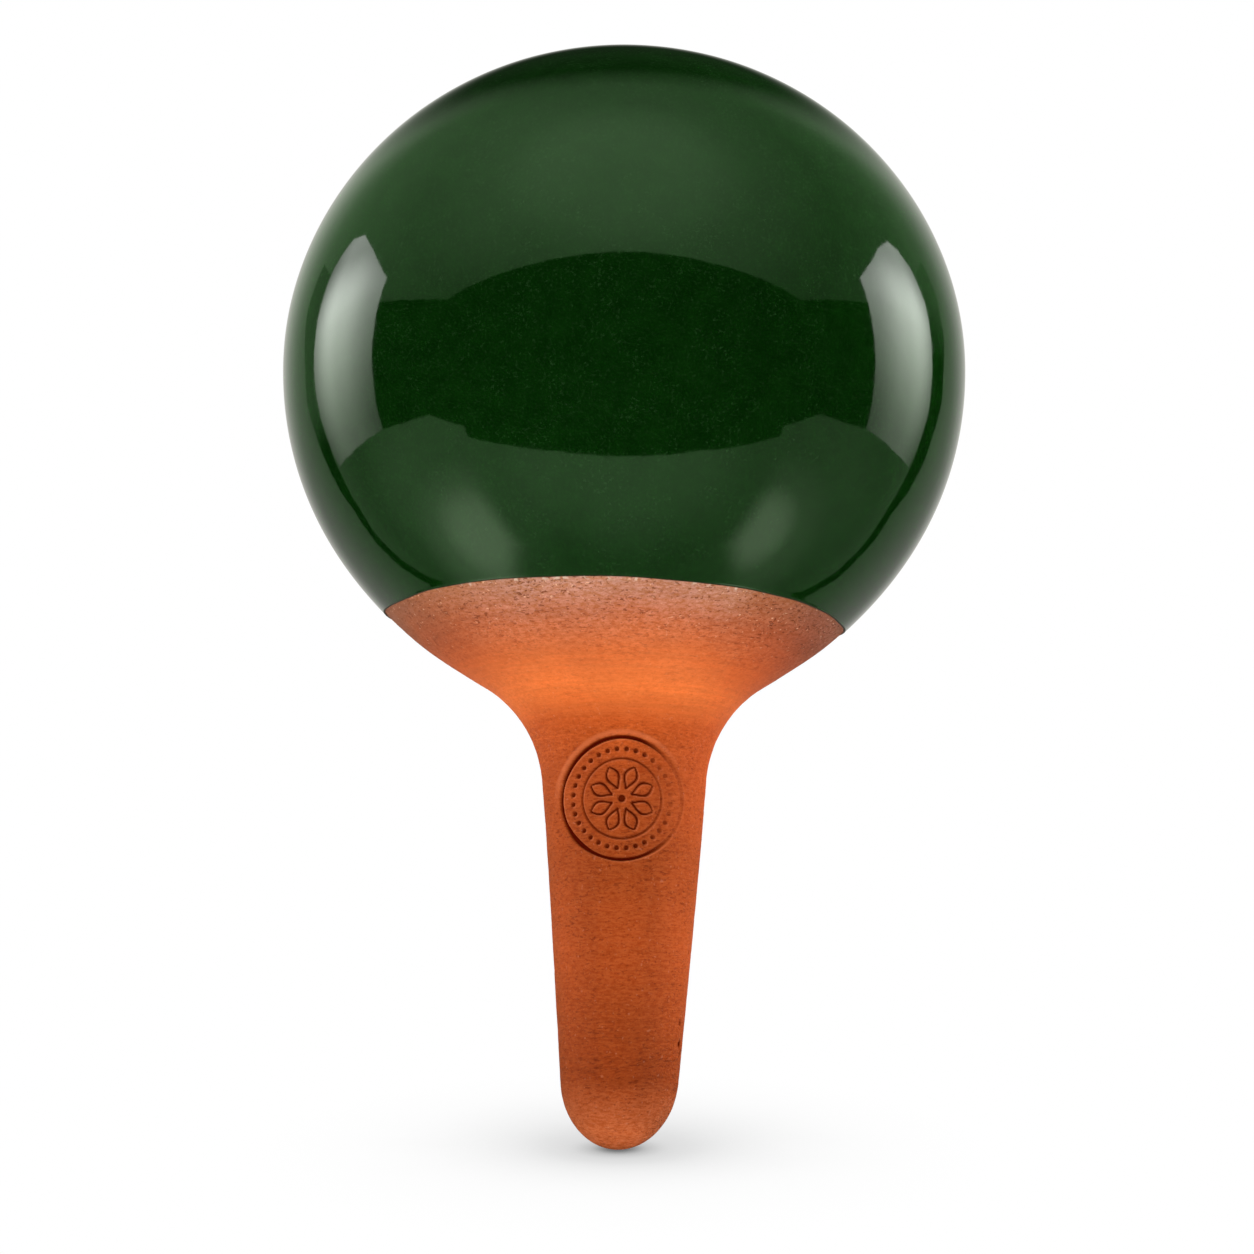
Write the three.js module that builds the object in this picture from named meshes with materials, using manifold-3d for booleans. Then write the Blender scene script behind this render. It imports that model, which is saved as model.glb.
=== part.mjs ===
// Terracotta olla: a hollow glazed bulb that holds water, on a porous clay spike that is pushed into soil.
// Millimetres, +Z up. The origin is on the axis at the shoulder, where the spike is luted to the bulb.

import * as THREE from "three";
import { mergeVertices } from "three/addons/utils/BufferGeometryUtils.js";
import Module from "manifold-3d";

// Bulb, outside of the clay. The crown and the bowl are cubic curves that meet at the widest ring.
const bulbRadius = 59.5;
const equatorHeight = 55.4;
const crownRise = 56.5;
const crownBreadth = 34.4;
const crownFullness = 29.3;
const bowlFullness = 29.0;
const underRun = 17.4;
const shoulderAngle = THREE.MathUtils.degToRad(30.8);
const bulbWall = 5.0;

// Spike: a concave flare under the shoulder, a straight taper and a rounded closed tip
const flareRadius = 21.7;
const spikeTaper = THREE.MathUtils.degToRad(4.6);
const spikeLength = 79.6;
const tipRadius = 10.1;
const tipRise = 12.3;
const spikeWall = 5.0;

// Luted joint: a layer of slip keyed into one scored groove in each seat
const slipThickness = 1.2;
const scoreWidth = 2.0;
const scoreDepth = 0.9;

// Glaze: a fired coat that ends below at a tilted dip line, high on the left and in front
const glazeThickness = 0.4;
const glazeBond = 0.1;
const dipHeight = 9.8;
const dipLean = THREE.MathUtils.degToRad(1.9);
const dipPitch = THREE.MathUtils.degToRad(2.8);

// Filler mouth: a bare standing ring at the crown, a dish for two fingers and a tapered throat
const crownRingWidth = 1.4;
const ringProud = 0.1;
const fingerGap = 4.4;
const dishDepth = 6.0;
const throatRadius = 8.0;
const throatLength = 11.0;
const throatTaper = THREE.MathUtils.degToRad(3.5);
const collarWall = 4.5;

// Stopper: a tapered cork that sits below the standing ring
const corkFit = 0.3;
const corkLength = 19.0;
const corkRecess = 1.0;
const corkChamfer = 0.8;

// Facets: steps round the axis, and along the longer and the shorter curves
const turnSteps = 40;
const longSteps = 10;
const shortSteps = 6;

const clay = { color: 0xb5602c, roughness: 0.9, metalness: 0 };
const finishes = {
  bulb: clay,
  spike: clay,
  luting_slip: { color: 0xc26a33, roughness: 0.92, metalness: 0 },
  glaze_coat: { color: 0x0f2f12, roughness: 0.1, metalness: 0 },
  filler_stopper: { color: 0xb98a5a, roughness: 0.85, metalness: 0 },
};

const wasm = await Module();
wasm.setup();

// Outline curves, in a half plane: x is the radius and y the height. Each runs down from the crown to the tip.
const spike = spikeCurves();
const body = bulbCurves(spike.shoulder);
const seat = seatSizes();
const mouth = mouthSizes();

function spikeCurves() {
  const tipCentre = tipRise - spikeLength;
  const tipStart = Math.atan((tipRise / tipRadius) * Math.tan(spikeTaper));
  const taperEnd = new THREE.Vector2(
    tipRadius * Math.cos(tipStart),
    tipCentre - tipRise * Math.sin(tipStart),
  );
  // The flare touches the taper below and has the shoulder's slope at height 0.
  const centreHeight = -flareRadius * Math.cos(shoulderAngle);
  const taperRadius = taperEnd.x + (centreHeight - taperEnd.y) * Math.tan(spikeTaper);
  const centre = new THREE.Vector2(taperRadius + flareRadius / Math.cos(spikeTaper), centreHeight);
  const flareStart = Math.PI / 2 + shoulderAngle;
  const flareEnd = Math.PI - spikeTaper;
  const flare = new THREE.EllipseCurve(
    centre.x, centre.y, flareRadius, flareRadius, flareStart, flareEnd,
  );
  const taper = new THREE.LineCurve(flare.getPoint(1), taperEnd);
  const tip = new THREE.EllipseCurve(
    0, tipCentre, tipRadius, tipRise, -tipStart, -Math.PI / 2, true,
  );
  return { flare, taper, tip, shoulder: flare.getPoint(0) };
}

function bulbCurves(shoulder) {
  const equator = new THREE.Vector2(bulbRadius, equatorHeight);
  const apexHeight = equatorHeight + crownRise;
  const crown = new THREE.CubicBezierCurve(
    new THREE.Vector2(0, apexHeight),
    new THREE.Vector2(crownBreadth, apexHeight),
    new THREE.Vector2(bulbRadius, equatorHeight + crownFullness),
    equator,
  );
  const bowl = new THREE.CubicBezierCurve(
    equator,
    new THREE.Vector2(bulbRadius, equatorHeight - bowlFullness),
    new THREE.Vector2(
      shoulder.x + underRun * Math.cos(shoulderAngle),
      shoulder.y + underRun * Math.sin(shoulderAngle),
    ),
    shoulder,
  );
  return { crown, bowl };
}

// A point at a distance outside a curve, or inside it where the distance is negative
function beside(curve, t, distance) {
  const tangent = curve.getTangent(t);
  const normal = new THREE.Vector2(-tangent.y, tangent.x);
  return curve.getPoint(t).addScaledVector(normal, distance);
}

// The place on a curve, or beside it, where one coordinate has the value
function placeAt(curve, axis, value, distance = 0) {
  const rising = beside(curve, 1, distance)[axis] > beside(curve, 0, distance)[axis];
  let low = 0;
  let high = 1;
  for (let i = 0; i < 50; i++) {
    const middle = (low + high) / 2;
    const past = beside(curve, middle, distance)[axis] > value;
    if (past === rising) {
      high = middle;
    } else {
      low = middle;
    }
  }
  return (low + high) / 2;
}

// Evenly spaced points beside a stretch of a curve
function stretch(curve, from, to, steps, distance = 0) {
  const points = [];
  for (let i = 0; i <= steps; i++) {
    points.push(beside(curve, from + ((to - from) * i) / steps, distance));
  }
  return points;
}

// The flat seats of bulb and spike lie half the slip's thickness either side of height 0.
function seatSizes() {
  const above = slipThickness / 2;
  const below = -above;
  const bowlEnd = placeAt(body.bowl, "y", above);
  const flareStart = placeAt(spike.flare, "y", below);
  const bore = beside(spike.flare, placeAt(spike.flare, "y", below, -spikeWall), -spikeWall).x;
  const outer = spike.shoulder.x;
  const score = (bore + outer) / 2;
  return {
    above,
    below,
    bowlEnd,
    flareStart,
    bore,
    scoreInner: score - scoreWidth / 2,
    scoreOuter: score + scoreWidth / 2,
  };
}

function mouthSizes() {
  const dishRadius = throatRadius + fingerGap;
  const ringRadius = dishRadius + crownRingWidth;
  const ringStart = placeAt(body.crown, "x", ringRadius);
  const ringHeight = body.crown.getPoint(ringStart).y + glazeBond + glazeThickness + ringProud;
  const dishBottom = ringHeight - dishDepth;
  const throatBottom = dishBottom - throatLength;
  return { dishRadius, ringRadius, ringStart, ringHeight, dishBottom, throatBottom };
}

// Radius of the throat's cone at a height
function throatAt(height) {
  return throatRadius + (height - mouth.dishBottom) * Math.tan(throatTaper);
}

// The groove scored into a seat, as corners from the outside in. Depth is up in the bulb and down in the spike.
function scoredGroove(height, depth) {
  return [
    new THREE.Vector2(seat.scoreOuter, height),
    new THREE.Vector2(seat.scoreOuter, height + depth),
    new THREE.Vector2(seat.scoreInner, height + depth),
    new THREE.Vector2(seat.scoreInner, height),
  ];
}

// A solid turned on the axis from its outline, which closes on itself or ends on the axis at both ends
function turned(outline) {
  const onAxis = outline[0].x === 0;
  const profile = onAxis ? [...outline] : [...outline, outline[0]];
  if (THREE.ShapeUtils.isClockWise(outline)) {
    profile.reverse();
  }
  return new THREE.LatheGeometry(profile, turnSteps).rotateX(Math.PI / 2);
}

function solidOf(geometry) {
  const bare = geometry.clone();
  bare.deleteAttribute("normal");
  bare.deleteAttribute("uv");
  const merged = mergeVertices(bare);
  const mesh = new wasm.Mesh({
    numProp: 3,
    vertProperties: merged.attributes.position.array,
    triVerts: new Uint32Array(merged.index.array),
  });
  return new wasm.Manifold(mesh);
}

function geometryOf(solid) {
  const mesh = solid.getMesh();
  const geometry = new THREE.BufferGeometry();
  geometry.setAttribute("position", new THREE.BufferAttribute(mesh.vertProperties, mesh.numProp));
  geometry.setIndex(new THREE.BufferAttribute(mesh.triVerts, 1));
  geometry.computeVertexNormals();
  return geometry;
}

// The thrown bulb: an even wall from the scored seat to the crown, turned in there as a collar round the throat
function bulbGeometry() {
  const collarRadius = throatRadius + collarWall;
  const collarTop = placeAt(body.crown, "x", collarRadius, -bulbWall);
  const outside = [
    ...stretch(body.crown, mouth.ringStart, 1, longSteps),
    ...stretch(body.bowl, 0, seat.bowlEnd, longSteps).slice(1),
  ];
  const inside = [
    ...stretch(body.bowl, 1, 0, shortSteps, -bulbWall),
    ...stretch(body.crown, 1, collarTop, shortSteps, -bulbWall).slice(1),
  ];
  const collar = [
    new THREE.Vector2(collarRadius, mouth.throatBottom),
    new THREE.Vector2(throatAt(mouth.throatBottom), mouth.throatBottom),
    new THREE.Vector2(throatRadius, mouth.dishBottom),
    new THREE.Vector2(mouth.dishRadius, mouth.ringHeight),
    new THREE.Vector2(mouth.ringRadius, mouth.ringHeight),
  ];
  const seatBore = new THREE.Vector2(seat.bore, seat.above);
  return turned([...outside, ...scoredGroove(seat.above, scoreDepth), seatBore, ...inside, ...collar]);
}

// The spike: one wall thickness all the way, so that its bore flares at the head and ends round above the tip
function spikeGeometry() {
  const boreStart = placeAt(spike.flare, "y", seat.below, -spikeWall);
  const outside = [
    ...stretch(spike.flare, seat.flareStart, 1, shortSteps),
    ...stretch(spike.tip, 0, 1, shortSteps),
  ];
  const inside = [
    ...stretch(spike.tip, 1, 0, shortSteps, -spikeWall),
    ...stretch(spike.flare, 1, boreStart, shortSteps, -spikeWall),
  ];
  const outline = [
    ...outside,
    ...inside,
    ...scoredGroove(seat.below, -scoreDepth).reverse(),
  ];
  return turnedFromTip(outline, outside.length);
}

// A cup's outline meets the axis twice, at the end of its outside and at the start of its inside.
function turnedFromTip(outline, outsideCount) {
  const opened = [...outline.slice(outsideCount), ...outline.slice(0, outsideCount)];
  opened[0].x = 0;
  opened[opened.length - 1].x = 0;
  return turned(opened);
}

// The slip: fills the joint flush with the outside and the bore, with a key in each groove
function slipGeometry() {
  const rim = [
    body.bowl.getPoint(seat.bowlEnd),
    spike.shoulder,
    spike.flare.getPoint(seat.flareStart),
  ];
  return turned([
    ...rim,
    ...scoredGroove(seat.below, -scoreDepth),
    new THREE.Vector2(seat.bore, seat.below),
    new THREE.Vector2(seat.bore, seat.above),
    ...scoredGroove(seat.above, scoreDepth).reverse(),
  ]);
}

// The glaze: a thin coat over crown and bowl, cut by the tilted plane to which the pot was dipped
function glazeGeometry() {
  const edge = mouth.ringRadius + glazeBond;
  const outer = glazeBond + glazeThickness;
  const outerStart = placeAt(body.crown, "x", edge, outer);
  const innerStart = placeAt(body.crown, "x", edge, glazeBond);
  const coat = turned([
    ...stretch(body.crown, outerStart, 1, longSteps, outer),
    ...stretch(body.bowl, 0, 1, longSteps, outer).slice(1),
    ...stretch(body.bowl, 1, 0, longSteps, glazeBond),
    ...stretch(body.crown, 1, innerStart, longSteps, glazeBond).slice(1),
  ]);
  const dipSize = 4 * (bulbRadius + crownRise);
  const dipped = new THREE.BoxGeometry(dipSize, dipSize, dipSize)
    .translate(0, 0, dipSize / 2)
    .rotateX(-dipPitch)
    .rotateY(dipLean)
    .translate(0, 0, dipHeight);
  return geometryOf(solidOf(coat).intersect(solidOf(dipped)));
}

// The cork: on the throat's cone with an even fit, chamfered at both ends
function stopperGeometry() {
  const top = mouth.ringHeight - corkRecess;
  const bottom = top - corkLength;
  const topRadius = throatAt(top) - corkFit;
  const bottomRadius = throatAt(bottom) - corkFit;
  return turned([
    new THREE.Vector2(0, bottom),
    new THREE.Vector2(bottomRadius - corkChamfer, bottom),
    new THREE.Vector2(bottomRadius, bottom + corkChamfer),
    new THREE.Vector2(topRadius, top - corkChamfer),
    new THREE.Vector2(topRadius - corkChamfer, top),
    new THREE.Vector2(0, top),
  ]);
}

const geometries = {
  bulb: bulbGeometry(),
  spike: spikeGeometry(),
  luting_slip: slipGeometry(),
  glaze_coat: glazeGeometry(),
  filler_stopper: stopperGeometry(),
};

const olla = new THREE.Group();
olla.name = "olla";
for (const [name, geometry] of Object.entries(geometries)) {
  const mesh = new THREE.Mesh(geometry, new THREE.MeshStandardMaterial(finishes[name]));
  mesh.name = name;
  olla.add(mesh);
}

export default olla;
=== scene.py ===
# Terracotta olla: a glazed clay bulb on a bare clay spike, with a cork in its crown. Metres, +Z up.

import math

import bmesh
import bpy
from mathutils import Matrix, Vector, noise


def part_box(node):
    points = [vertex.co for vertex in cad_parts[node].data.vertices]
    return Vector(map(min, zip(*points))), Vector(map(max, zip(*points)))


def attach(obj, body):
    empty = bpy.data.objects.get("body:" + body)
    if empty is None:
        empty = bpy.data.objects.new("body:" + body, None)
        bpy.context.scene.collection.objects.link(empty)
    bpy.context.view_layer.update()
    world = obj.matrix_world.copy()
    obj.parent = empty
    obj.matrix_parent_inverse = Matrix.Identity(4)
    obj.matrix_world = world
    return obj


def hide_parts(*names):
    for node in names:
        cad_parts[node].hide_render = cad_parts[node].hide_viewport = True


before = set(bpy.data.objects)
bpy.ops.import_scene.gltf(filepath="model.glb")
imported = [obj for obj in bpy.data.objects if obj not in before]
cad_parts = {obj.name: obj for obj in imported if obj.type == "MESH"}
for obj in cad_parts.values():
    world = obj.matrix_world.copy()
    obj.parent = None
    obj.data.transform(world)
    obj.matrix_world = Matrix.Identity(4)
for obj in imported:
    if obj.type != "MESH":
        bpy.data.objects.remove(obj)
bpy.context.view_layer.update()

MM = 0.001

# Outline of the clay, as in the solids. Heights are from the luted joint.
BULB_RADIUS = 59.5 * MM
EQUATOR_HEIGHT = 55.4 * MM
CROWN_RISE = 56.5 * MM
CROWN_BREADTH = 34.4 * MM
CROWN_FULLNESS = 29.3 * MM
BOWL_FULLNESS = 29.0 * MM
UNDER_RUN = 17.4 * MM
SHOULDER_ANGLE = math.radians(30.8)
FLARE_RADIUS = 21.7 * MM
SPIKE_TAPER = math.radians(4.6)
TIP_RADIUS = 10.1 * MM
TIP_RISE = 12.3 * MM
WALL = 5.0 * MM
TIP_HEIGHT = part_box("spike")[0].z
SEAT_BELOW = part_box("spike")[1].z
SEAT_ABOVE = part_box("bulb")[0].z

# Filler mouth and cork
RING_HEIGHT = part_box("bulb")[1].z
RING_RADIUS = 13.8 * MM
DISH_RADIUS = 12.4 * MM
DISH_DEPTH = 6.0 * MM
THROAT_RADIUS = 8.0 * MM
THROAT_LENGTH = 11.0 * MM
THROAT_TAPER = math.radians(3.5)
COLLAR_RADIUS = 12.5 * MM
MOUTH_ROUND = 0.6 * MM
CORK_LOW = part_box("filler_stopper")[0].z
CORK_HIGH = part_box("filler_stopper")[1].z
CORK_FIT = 0.3 * MM
CORK_ROUND = 1.1 * MM
PIT_ACROSS, PIT_UP, PIT_DEPTH = 420, 900, 0.28 * MM
PIT_LOW, PIT_HIGH = 0.25, 0.55
CORK_GRAIN_SCALE, CORK_GRAIN_DEPTH = 1400, 0.05 * MM

# Glaze coat, measured out from the clay outline, and the tilted line to which the pot was dipped
GLAZE_INNER = 0.32 * MM
GLAZE_OUTER = 0.5 * MM
GLAZE_EDGE = 0.45 * MM
GLAZE_ROLL = 0.03 * MM
ROLL_WIDTH = 1.0 * MM
BOWL_LENGTH = 72 * MM
DIP_HEIGHT = 9.8 * MM
DIP_LEAN = math.tan(math.radians(1.9))
DIP_PITCH = math.tan(math.radians(2.8))
DIP_WAVER = 0.16 * MM
WAVER_SCALE, WAVER_PLACE = 4, 0.3
DIP_RISE = 2.7 * MM
RISE_LEFT, RISE_RIGHT, RISE_FULL = math.radians(57), math.radians(70), math.radians(122)
GLAZE_WAVE = 0.012 * MM
GLAZE_WAVE_SCALE = 85
ROLL_MARK = 0.4

# The bare clay swells to meet the glaze, so that the coat stands only a little proud
CLAY_SWELL = 0.3 * MM
SWELL_LOW = 1.5 * MM
SWELL_HIGH = 8.0 * MM

# The spike leans a little to the left towards its tip
LEAN_START = -24.0 * MM
LEAN_SHIFT = -1.05 * MM
LEAN_POWER = 1.25

# Seal pressed into the front of the spike: a ring, a row of beads and a rosette
SEAL_X = -0.4 * MM
SEAL_Z = -21.1 * MM
SEAL_RADIUS = 10.2 * MM
SEAL_LINE = 0.3 * MM
SEAL_DEPTH = 0.42 * MM
SEAL_SOFT = 0.18 * MM
SEAL_UNEVEN = 0.6
SEAL_LIP = 0.16 * MM
LIP_REACH = 1.1 * MM
LIP_START = 1 * MM
LIP_FULL = 9 * MM
SEAL_BURR = 0.07 * MM
BURR_REACH = 0.22 * MM
BEAD_CIRCLE = 8.3 * MM
BEAD_RADIUS = 0.4 * MM
BEAD_COUNT = 32
INNER_RING = 6.7 * MM
PETAL_COUNT = 8
PETAL_START = 1.7 * MM
PETAL_END = 5.7 * MM
PETAL_WIDTH = 1.05 * MM
PETAL_LINE = 0.2 * MM
HUB_RADIUS = 0.62 * MM
LIP_TILT = 0.3
INNER_LINE = SEAL_LINE * 0.6
INNER_SHARE = 0.7
HUB_SHARE = 0.9
BEAD_SHARE = 0.85
PETAL_SHARE = 0.9
PETAL_POWER = 1.3
UNEVEN_SCALE, UNEVEN_PLACE = 2, 5

# The seal fades to its right, along a wavering line
FADE_START = 3 * MM
FADE_END = 9.5 * MM
FADE_SHARE = 0.8
FADE_WAVER = 1.2 * MM
FADE_SCALE = 300

# Small chips out of the spike's right side: degrees from the front, height, radius and depth
CHIPS = (
    (71, -62.0 * MM, 0.8 * MM, 0.45 * MM),
    (75, -63.7 * MM, 0.6 * MM, 0.35 * MM),
    (67, -58.3 * MM, 0.5 * MM, 0.3 * MM),
    (73, -46.5 * MM, 0.4 * MM, 0.2 * MM),
)
# Chip depth at which its painted shade is full
CHIP_FULL_SHADE = 0.3 * MM
CHIP_CORE = 0.35
CHIP_ROUGH, CHIP_SCALE = 0.25, 1800

# Mesh steps
FINE_STEP = 0.3 * MM
SEAL_STEP = 0.16 * MM
SPIKE_STEP = 0.5 * MM
COARSE_STEP = 2.0 * MM
INSIDE_STEP = 3.0 * MM
ROUND_COUNT = 256
SEAL_HALF_ANGLE = math.radians(84)
SEAL_ANGLE_STEP = math.radians(0.7)
BACK_ANGLE_STEP = math.radians(4)
FRONT = -math.pi / 2
CORK_COUNT = 128
CORNER_STEPS = 5
COAT_STEPS = 64
ROLL_STEPS = 12
EDGE_STEPS = 6
LENGTH_SAMPLES = 16
HALVINGS = 40
DIP_HALVINGS = 30
TANGENT_STEP = 1e-4
ON_AXIS = 1e-7

# Photograph's camera, and the height on the axis that it looks at
CAMERA_DISTANCE = 500 * MM
CAMERA_ELEVATION = math.radians(-9)
CAMERA_AIM = Vector((0.49, 0, 10.23)) * MM
CAMERA_LENS = 82.19
SENSOR_WIDTH = 36
CAMERA_NEAR = 10 * MM


# Curves of the outline, in a half plane: x is the radius and y the height, running down from the crown

def cubic(start, first, second, end):
    def at(t):
        u = 1 - t
        return start * u**3 + first * (3 * u * u * t) + second * (3 * u * t * t) + end * t**3
    return at


def ellipse(centre, radius, height, start, stop):
    def at(t):
        angle = start + (stop - start) * t
        return centre + Vector((radius * math.cos(angle), height * math.sin(angle)))
    return at


def line(start, end):
    return lambda t: start.lerp(end, t)


def outline_curves():
    tip_centre = Vector((0, TIP_HEIGHT + TIP_RISE))
    tip_start = math.atan(TIP_RISE / TIP_RADIUS * math.tan(SPIKE_TAPER))
    tip = ellipse(tip_centre, TIP_RADIUS, TIP_RISE, -tip_start, -math.pi / 2)
    taper_end = tip(0)
    flare_height = -FLARE_RADIUS * math.cos(SHOULDER_ANGLE)
    taper_radius = taper_end.x + (flare_height - taper_end.y) * math.tan(SPIKE_TAPER)
    flare_centre = Vector((taper_radius + FLARE_RADIUS / math.cos(SPIKE_TAPER), flare_height))
    flare_start = math.pi / 2 + SHOULDER_ANGLE
    flare = ellipse(flare_centre, FLARE_RADIUS, FLARE_RADIUS, flare_start, math.pi - SPIKE_TAPER)
    shoulder = flare(0)
    equator = Vector((BULB_RADIUS, EQUATOR_HEIGHT))
    apex = EQUATOR_HEIGHT + CROWN_RISE
    crown = cubic(
        Vector((0, apex)),
        Vector((CROWN_BREADTH, apex)),
        equator + Vector((0, CROWN_FULLNESS)),
        equator,
    )
    under = Vector((math.cos(SHOULDER_ANGLE), math.sin(SHOULDER_ANGLE))) * UNDER_RUN
    bowl = cubic(equator, equator - Vector((0, BOWL_FULLNESS)), shoulder + under, shoulder)
    return crown, bowl, flare, line(flare(1), taper_end), tip


crown, bowl, flare, taper, tip = outline_curves()


def beside(curve, t, distance):
    """A point at a distance outside a curve."""
    ahead, behind = min(t + TANGENT_STEP, 1), max(t - TANGENT_STEP, 0)
    tangent = (curve(ahead) - curve(behind)).normalized()
    return curve(t) + Vector((-tangent.y, tangent.x)) * distance


def place_at(curve, axis, value, distance=0.0):
    """The place on a curve, or beside it, where one coordinate has the value."""
    rising = beside(curve, 1, distance)[axis] > beside(curve, 0, distance)[axis]
    low, high = 0.0, 1.0
    for _ in range(HALVINGS):
        middle = (low + high) / 2
        if (beside(curve, middle, distance)[axis] > value) == rising:
            high = middle
        else:
            low = middle
    return (low + high) / 2


def stretch(curve, start, stop, step, distance=0.0):
    """Points beside a stretch of a curve, about a step apart."""
    marks = [curve(start + (stop - start) * i / LENGTH_SAMPLES) for i in range(LENGTH_SAMPLES + 1)]
    length = sum((after - before).length for before, after in zip(marks, marks[1:]))
    count = max(2, round(length / step))
    return [beside(curve, start + (stop - start) * i / count, distance) for i in range(count + 1)]


def smooth_step(low, high, value):
    t = min(max((value - low) / (high - low), 0), 1)
    return t * t * (3 - 2 * t)


def rounded(corners, radius):
    """A chain of straight stretches, with each corner between its ends rounded."""
    points = [corners[0]]
    for before, corner, after in zip(corners, corners[1:], corners[2:]):
        start = corner + (before - corner).normalized() * radius
        end = corner + (after - corner).normalized() * radius
        for i in range(CORNER_STEPS + 1):
            t = i / CORNER_STEPS
            points.append(start.lerp(corner, t).lerp(corner.lerp(end, t), t))
    return points + [corners[-1]]


# Meshes

def even_angles(count):
    return [2 * math.pi * i / count for i in range(count)]


def seal_angles():
    """Angles round the spike, close together across the seal and wider behind."""
    front = round(2 * SEAL_HALF_ANGLE / SEAL_ANGLE_STEP)
    back = round((2 * math.pi - 2 * SEAL_HALF_ANGLE) / BACK_ANGLE_STEP)
    first = FRONT - SEAL_HALF_ANGLE
    last = FRONT + SEAL_HALF_ANGLE
    angles = [first + 2 * SEAL_HALF_ANGLE * i / front for i in range(front)]
    return angles + [last + (2 * math.pi - 2 * SEAL_HALF_ANGLE) * i / back for i in range(back)]


def ring(point, angles):
    """The point of an outline, turned through the angles. On the axis it stays one point."""
    if point.x < ON_AXIS:
        return [Vector((0, 0, point.y))]
    return [Vector((point.x * math.cos(a), point.x * math.sin(a), point.y)) for a in angles]


def skin(name, rings, closed, sharp=()):
    """A smooth mesh through rings of points, with a sharp edge along the rings that are named."""
    grid = bmesh.new()
    made = [[grid.verts.new(p) for p in points] for points in rings]
    pairs = list(zip(made, made[1:]))
    if closed:
        pairs.append((made[-1], made[0]))
    for upper, lower in pairs:
        count = max(len(upper), len(lower))
        for i in range(count):
            j = (i + 1) % count
            corners = [
                upper[i % len(upper)],
                lower[i % len(lower)],
                lower[j % len(lower)],
                upper[j % len(upper)],
            ]
            grid.faces.new(list(dict.fromkeys(corners))).smooth = True
    for index in sharp:
        points = made[index]
        for i, point in enumerate(points):
            grid.edges.get((point, points[(i + 1) % len(points)])).smooth = False
    bmesh.ops.recalc_face_normals(grid, faces=grid.faces)
    mesh = bpy.data.meshes.new(name)
    grid.to_mesh(mesh)
    grid.free()
    made_object = bpy.data.objects.new(name, mesh)
    bpy.context.scene.collection.objects.link(made_object)
    return made_object


def vertex_mark(piece, name, values):
    """Writes one number for each vertex, which the material reads."""
    mark = piece.data.attributes.new(name, "FLOAT", "POINT")
    mark.data.foreach_set("value", values)


def mount(piece, material, body, node):
    """Gives a piece its material and body, and hides the solid whose place it takes."""
    piece.data.materials.append(material)
    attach(piece, body)
    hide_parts(node)


# Relief of the turned clay: broad waves, lines left by the turning tool, grain and a few pores, each with
# the scale of its noise and its depth

WAVE_ACROSS, WAVE_UP, WAVE_DEPTH = 14, 260, 0.035 * MM
TOOL_ACROSS, TOOL_UP, TOOL_DEPTH = 30, 1300, 0.022 * MM
GRAIN_SCALE, GRAIN_DEPTH = 1500, 0.014 * MM
PORE_SCALE, PORE_DEPTH = 620, 0.06 * MM
PORE_LOW, PORE_HIGH = 0.42, 0.62
PORE_OFFSET = Vector((7, 3, 1))


def clay_relief(p):
    broad = noise.noise((p.x * WAVE_ACROSS, p.y * WAVE_ACROSS, p.z * WAVE_UP)) * WAVE_DEPTH
    lines = noise.noise((p.x * TOOL_ACROSS, p.y * TOOL_ACROSS, p.z * TOOL_UP)) * TOOL_DEPTH
    grain = noise.noise(p * GRAIN_SCALE) * GRAIN_DEPTH
    pores = smooth_step(PORE_LOW, PORE_HIGH, noise.noise(p * PORE_SCALE + PORE_OFFSET))
    return broad + lines + grain - pores * PORE_DEPTH


def clay_swell(height):
    return CLAY_SWELL * smooth_step(SWELL_LOW, SWELL_HIGH, height)


def seal_press(x, z):
    """How deep the seal is pressed at a place on the spike's front, from 0 to 1."""
    dx, dz = x - SEAL_X, z - SEAL_Z
    reach = math.hypot(dx, dz)
    if reach > SEAL_RADIUS + 2 * SEAL_LINE:
        return 0.0
    turn = math.atan2(dz, dx)
    edge = SEAL_SOFT / 2
    around = (UNEVEN_SCALE * math.cos(turn), UNEVEN_SCALE * math.sin(turn), UNEVEN_PLACE)
    uneven = 1 + SEAL_UNEVEN * noise.noise(around)
    parts = [line_press(reach - SEAL_RADIUS, SEAL_LINE * uneven, edge)]
    parts.append(INNER_SHARE * line_press(reach - INNER_RING, INNER_LINE, edge))
    parts.append(HUB_SHARE * line_press(reach, HUB_RADIUS, edge))
    bead_turn = turn_in_repeat(turn, BEAD_COUNT)
    bead_reach = math.hypot(reach - BEAD_CIRCLE, bead_turn * BEAD_CIRCLE)
    parts.append(BEAD_SHARE * line_press(bead_reach, BEAD_RADIUS, edge))
    petal_turn = turn_in_repeat(turn, PETAL_COUNT)
    along = (reach * math.cos(petal_turn) - PETAL_START) / (PETAL_END - PETAL_START)
    if 0 < along < 1:
        half = PETAL_WIDTH * math.sin(math.pi * along**PETAL_POWER)
        beside_petal = abs(reach * math.sin(petal_turn)) - half
        parts.append(PETAL_SHARE * line_press(beside_petal, PETAL_LINE, edge))
    waver = FADE_WAVER * noise.noise((x * FADE_SCALE, z * FADE_SCALE, 0))
    faded = 1 - FADE_SHARE * smooth_step(FADE_START, FADE_END, dx + waver)
    return max(parts) * faded


def turn_in_repeat(turn, count):
    """The angle from the middle of the repeat in which a turn lies, with so many repeats to a circle."""
    repeat = 2 * math.pi / count
    return (turn / repeat - math.floor(turn / repeat) - 0.5) * repeat


def seal_burr(x, z, press):
    """How far the clay is pushed up along the lower right of the seal's lines, from 0 to 1."""
    return max(0.0, seal_press(x - BURR_REACH, z + BURR_REACH) - press)


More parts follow.
